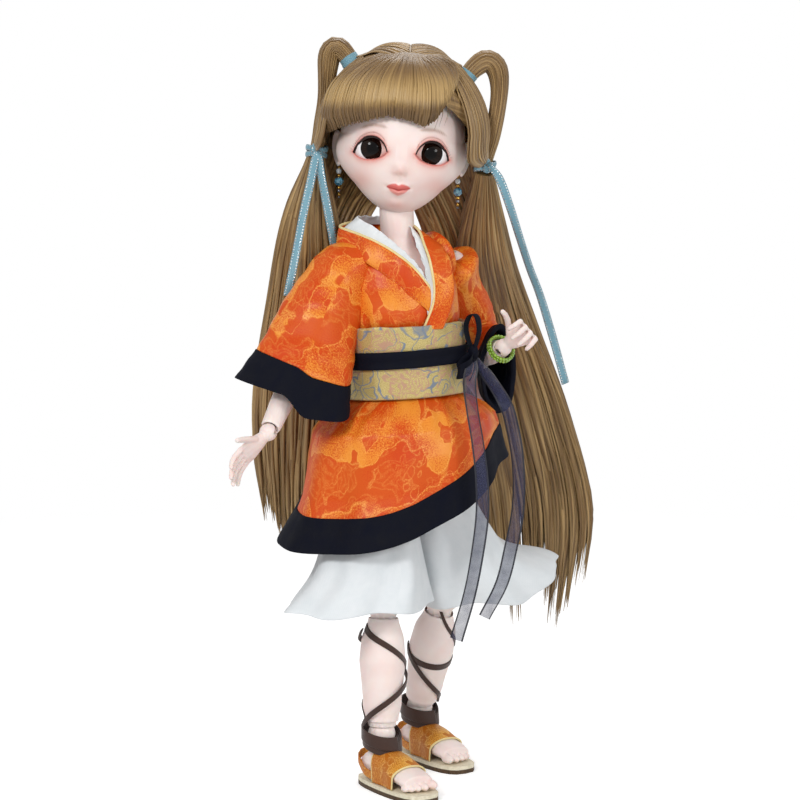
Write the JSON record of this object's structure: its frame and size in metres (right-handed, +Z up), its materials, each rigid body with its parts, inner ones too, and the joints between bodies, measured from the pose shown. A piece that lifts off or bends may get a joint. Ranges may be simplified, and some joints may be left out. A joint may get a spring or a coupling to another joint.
{
  "type": "ball jointed doll",
  "caption": "Strung resin doll on sandalled feet, with wig, crossed jacket, wide sleeves, sash, wide trousers and ribbons; its head, limbs, hands and feet pose on ball joints.",
  "frame": {"origin": "middle of the underside of the right sandal's sole, on the floor", "axes": "+Z up; the doll faces -Y; its right side is -X"},
  "size_m": [0.1933, 0.1135, 0.3003],
  "materials": {
    "resin": "matt cast resin, fair skin tone, with painted blushing",
    "eye": "glossy dark brown",
    "steel": "bent wire",
    "elastic": "round braided elastic",
    "hair": "combed straight fibre, honey brown",
    "ribbon": "pale blue ribbon with silver edge stitches",
    "orange_satin": "satin damask",
    "navy_satin": "matt satin",
    "piping": "cream gold band",
    "brocade": "pale gold brocade with scrolls",
    "white_cloth": "plain woven",
    "organza": "sheer with opaque edges",
    "sandal_brocade": "orange gold brocade",
    "sole": "cream insole with a dark edge",
    "lace": "flat dark brown strap",
    "bead_green": "polished green beads",
    "earring": "polished, with blue and clear beads"
  },
  "bodies": {
    "pelvis": {"pelvis": "resin", "jacket_skirt": "orange_satin", "skirt_border": "navy_satin", "leg_elastic_right": "elastic", "leg_elastic_left": "elastic"},
    "chest": {"chest": "resin", "shirt": "white_cloth", "jacket_body": "orange_satin", "jacket_collar": "piping", "obi": "brocade", "sash": "navy_satin", "bow": "navy_satin", "sash_tails": "organza", "arm_elastic": "elastic"},
    "neck_hook": {"neck_hook": "steel"},
    "head": {"head_shell": "resin", "head_cap": "resin", "eye_right": "eye", "eye_left": "eye", "wig_cap": "hair", "fringe": "hair", "hair_loop_right": "hair", "hair_loop_left": "hair", "hair_tie_right": "ribbon", "hair_tie_left": "ribbon", "hair_length_right": "hair", "hair_length_left": "hair", "hair_ribbon_right": "ribbon", "hair_ribbon_left": "ribbon", "earring_right": "earring", "earring_left": "earring"},
    "upper_arm_right": {"upper_arm_right": "resin", "sleeve_right": "orange_satin"},
    "upper_arm_left": {"upper_arm_left": "resin", "sleeve_left": "orange_satin"},
    "forearm_right": {"forearm_right": "resin", "cuff_right": "navy_satin"},
    "forearm_left": {"forearm_left": "resin", "cuff_left": "navy_satin", "bracelet": "bead_green"},
    "hand_hook_right": {"hand_hook_right": "steel"},
    "hand_hook_left": {"hand_hook_left": "steel"},
    "hand_right": {"hand_right": "resin"},
    "hand_left": {"hand_left": "resin"},
    "thigh_right": {"thigh_right": "resin", "trouser_leg_right": "white_cloth"},
    "thigh_left": {"thigh_left": "resin", "trouser_leg_left": "white_cloth"},
    "shin_right": {"shin_right": "resin", "lacing_right": "lace"},
    "shin_left": {"shin_left": "resin", "lacing_left": "lace"},
    "foot_hook_right": {"foot_hook_right": "steel"},
    "foot_hook_left": {"foot_hook_left": "steel"},
    "foot_right": {"foot_right": "resin", "sandal_sole_right": "sole", "sandal_upper_right": "sandal_brocade"},
    "foot_left": {"foot_left": "resin", "sandal_sole_left": "sole", "sandal_upper_left": "sandal_brocade"}
  },
  "joints": [
    {"name": "waist_bend", "type": "hinge", "parent": "pelvis", "child": "chest", "pos_m": [0.0228, 0.027, 0.16659], "axis": [1, 0, 0], "range_deg": [-10, 15], "deforming": ["jacket_body", "jacket_skirt", "obi", "sash", "bow", "sash_tails"]},
    {"name": "neck_turn", "type": "hinge", "parent": "chest", "child": "neck_hook", "pos_m": [0.02092, 0.03014, 0.22949], "axis": [-0.03, 0.0499, 0.9983], "range_deg": [-35, 105], "deforming": ["hair_length_right", "hair_length_left", "hair_ribbon_right", "hair_ribbon_left"]},
    {"name": "neck_nod", "type": "hinge", "parent": "neck_hook", "child": "head", "pos_m": [0.02092, 0.03014, 0.22949], "axis": [0.816, -0.5714, -0.0872], "range_deg": [-15, 18]},
    {"name": "shoulder_right", "type": "hinge", "parent": "chest", "child": "upper_arm_right", "pos_m": [-0.00485, 0.02891, 0.20473], "axis": [1, 0, 0], "range_deg": [-90, 30], "deforming": ["sleeve_right", "arm_elastic", "jacket_collar", "shirt"]},
    {"name": "shoulder_left", "type": "hinge", "parent": "chest", "child": "upper_arm_left", "pos_m": [0.04812, 0.02899, 0.20632], "axis": [1, 0, 0], "range_deg": [-90, 30], "deforming": ["sleeve_left"]},
    {"name": "elbow_right", "type": "hinge", "parent": "upper_arm_right", "child": "forearm_right", "pos_m": [-0.02498, 0.03329, 0.16699], "axis": [-0.7571, 0.4662, 0.4577], "range_deg": [-26, 75], "deforming": ["cuff_right"]},
    {"name": "elbow_left", "type": "hinge", "parent": "upper_arm_left", "child": "forearm_left", "pos_m": [0.06475, 0.03273, 0.16684], "axis": [-0.9097, 0.1995, -0.3641], "range_deg": [-110, 2], "deforming": ["cuff_left"]},
    {"name": "wrist_turn_right", "type": "hinge", "parent": "forearm_right", "child": "hand_hook_right", "pos_m": [-0.04426, 0.02396, 0.14458], "axis": [-0.6222, -0.3011, -0.7226], "range_deg": [-80, 80]},
    {"name": "wrist_turn_left", "type": "hinge", "parent": "forearm_left", "child": "hand_hook_left", "pos_m": [0.0555, 0.00408, 0.17423], "axis": [-0.2981, -0.9243, 0.2385], "range_deg": [-80, 80]},
    {"name": "wrist_bend_right", "type": "hinge", "parent": "hand_hook_right", "child": "hand_right", "pos_m": [-0.04426, 0.02396, 0.14458], "axis": [-0.5715, -0.4561, 0.6822], "range_deg": [-39, 80]},
    {"name": "wrist_bend_left", "type": "hinge", "parent": "hand_hook_left", "child": "hand_left", "pos_m": [0.0555, 0.00408, 0.17423], "axis": [0.528, -0.3679, -0.7655], "range_deg": [-23, 90]},
    {"name": "hip_right", "type": "hinge", "parent": "pelvis", "child": "thigh_right", "pos_m": [0.00604, 0.027, 0.13468], "axis": [1, 0, 0], "range_deg": [-70, 12], "deforming": ["trouser_leg_right", "skirt_border", "leg_elastic_right"]},
    {"name": "hip_left", "type": "hinge", "parent": "pelvis", "child": "thigh_left", "pos_m": [0.03496, 0.027, 0.13266], "axis": [1, 0, 0], "range_deg": [-70, 12], "deforming": ["trouser_leg_left", "leg_elastic_left"]},
    {"name": "knee_right", "type": "hinge", "parent": "thigh_right", "child": "shin_right", "pos_m": [0.00287, 0.01317, 0.07536], "axis": [0.9986, 0, -0.0532], "range_deg": [-9, 75]},
    {"name": "knee_left", "type": "hinge", "parent": "thigh_left", "child": "shin_left", "pos_m": [0.03744, 0.02101, 0.07201], "axis": [0.9992, 0, 0.0408], "range_deg": [-25, 60]},
    {"name": "ankle_turn_right", "type": "hinge", "parent": "shin_right", "child": "foot_hook_right", "pos_m": [0, 0.0105, 0.0215], "axis": [-0.0532, -0.0494, -0.9974], "range_deg": [-25, 25]},
    {"name": "ankle_turn_left", "type": "hinge", "parent": "shin_left", "child": "foot_hook_left", "pos_m": [0.0395, 0.04, 0.0215], "axis": [0.0382, 0.3517, -0.9353], "range_deg": [-25, 25]},
    {"name": "ankle_bend_right", "type": "hinge", "parent": "foot_hook_right", "child": "foot_right", "pos_m": [0, 0.0105, 0.0215], "axis": [1, 0, 0], "range_deg": [-20, 20]},
    {"name": "ankle_bend_left", "type": "hinge", "parent": "foot_hook_left", "child": "foot_left", "pos_m": [0.0395, 0.04, 0.0215], "axis": [1, 0, 0], "range_deg": [-20, 20]}
  ]
}
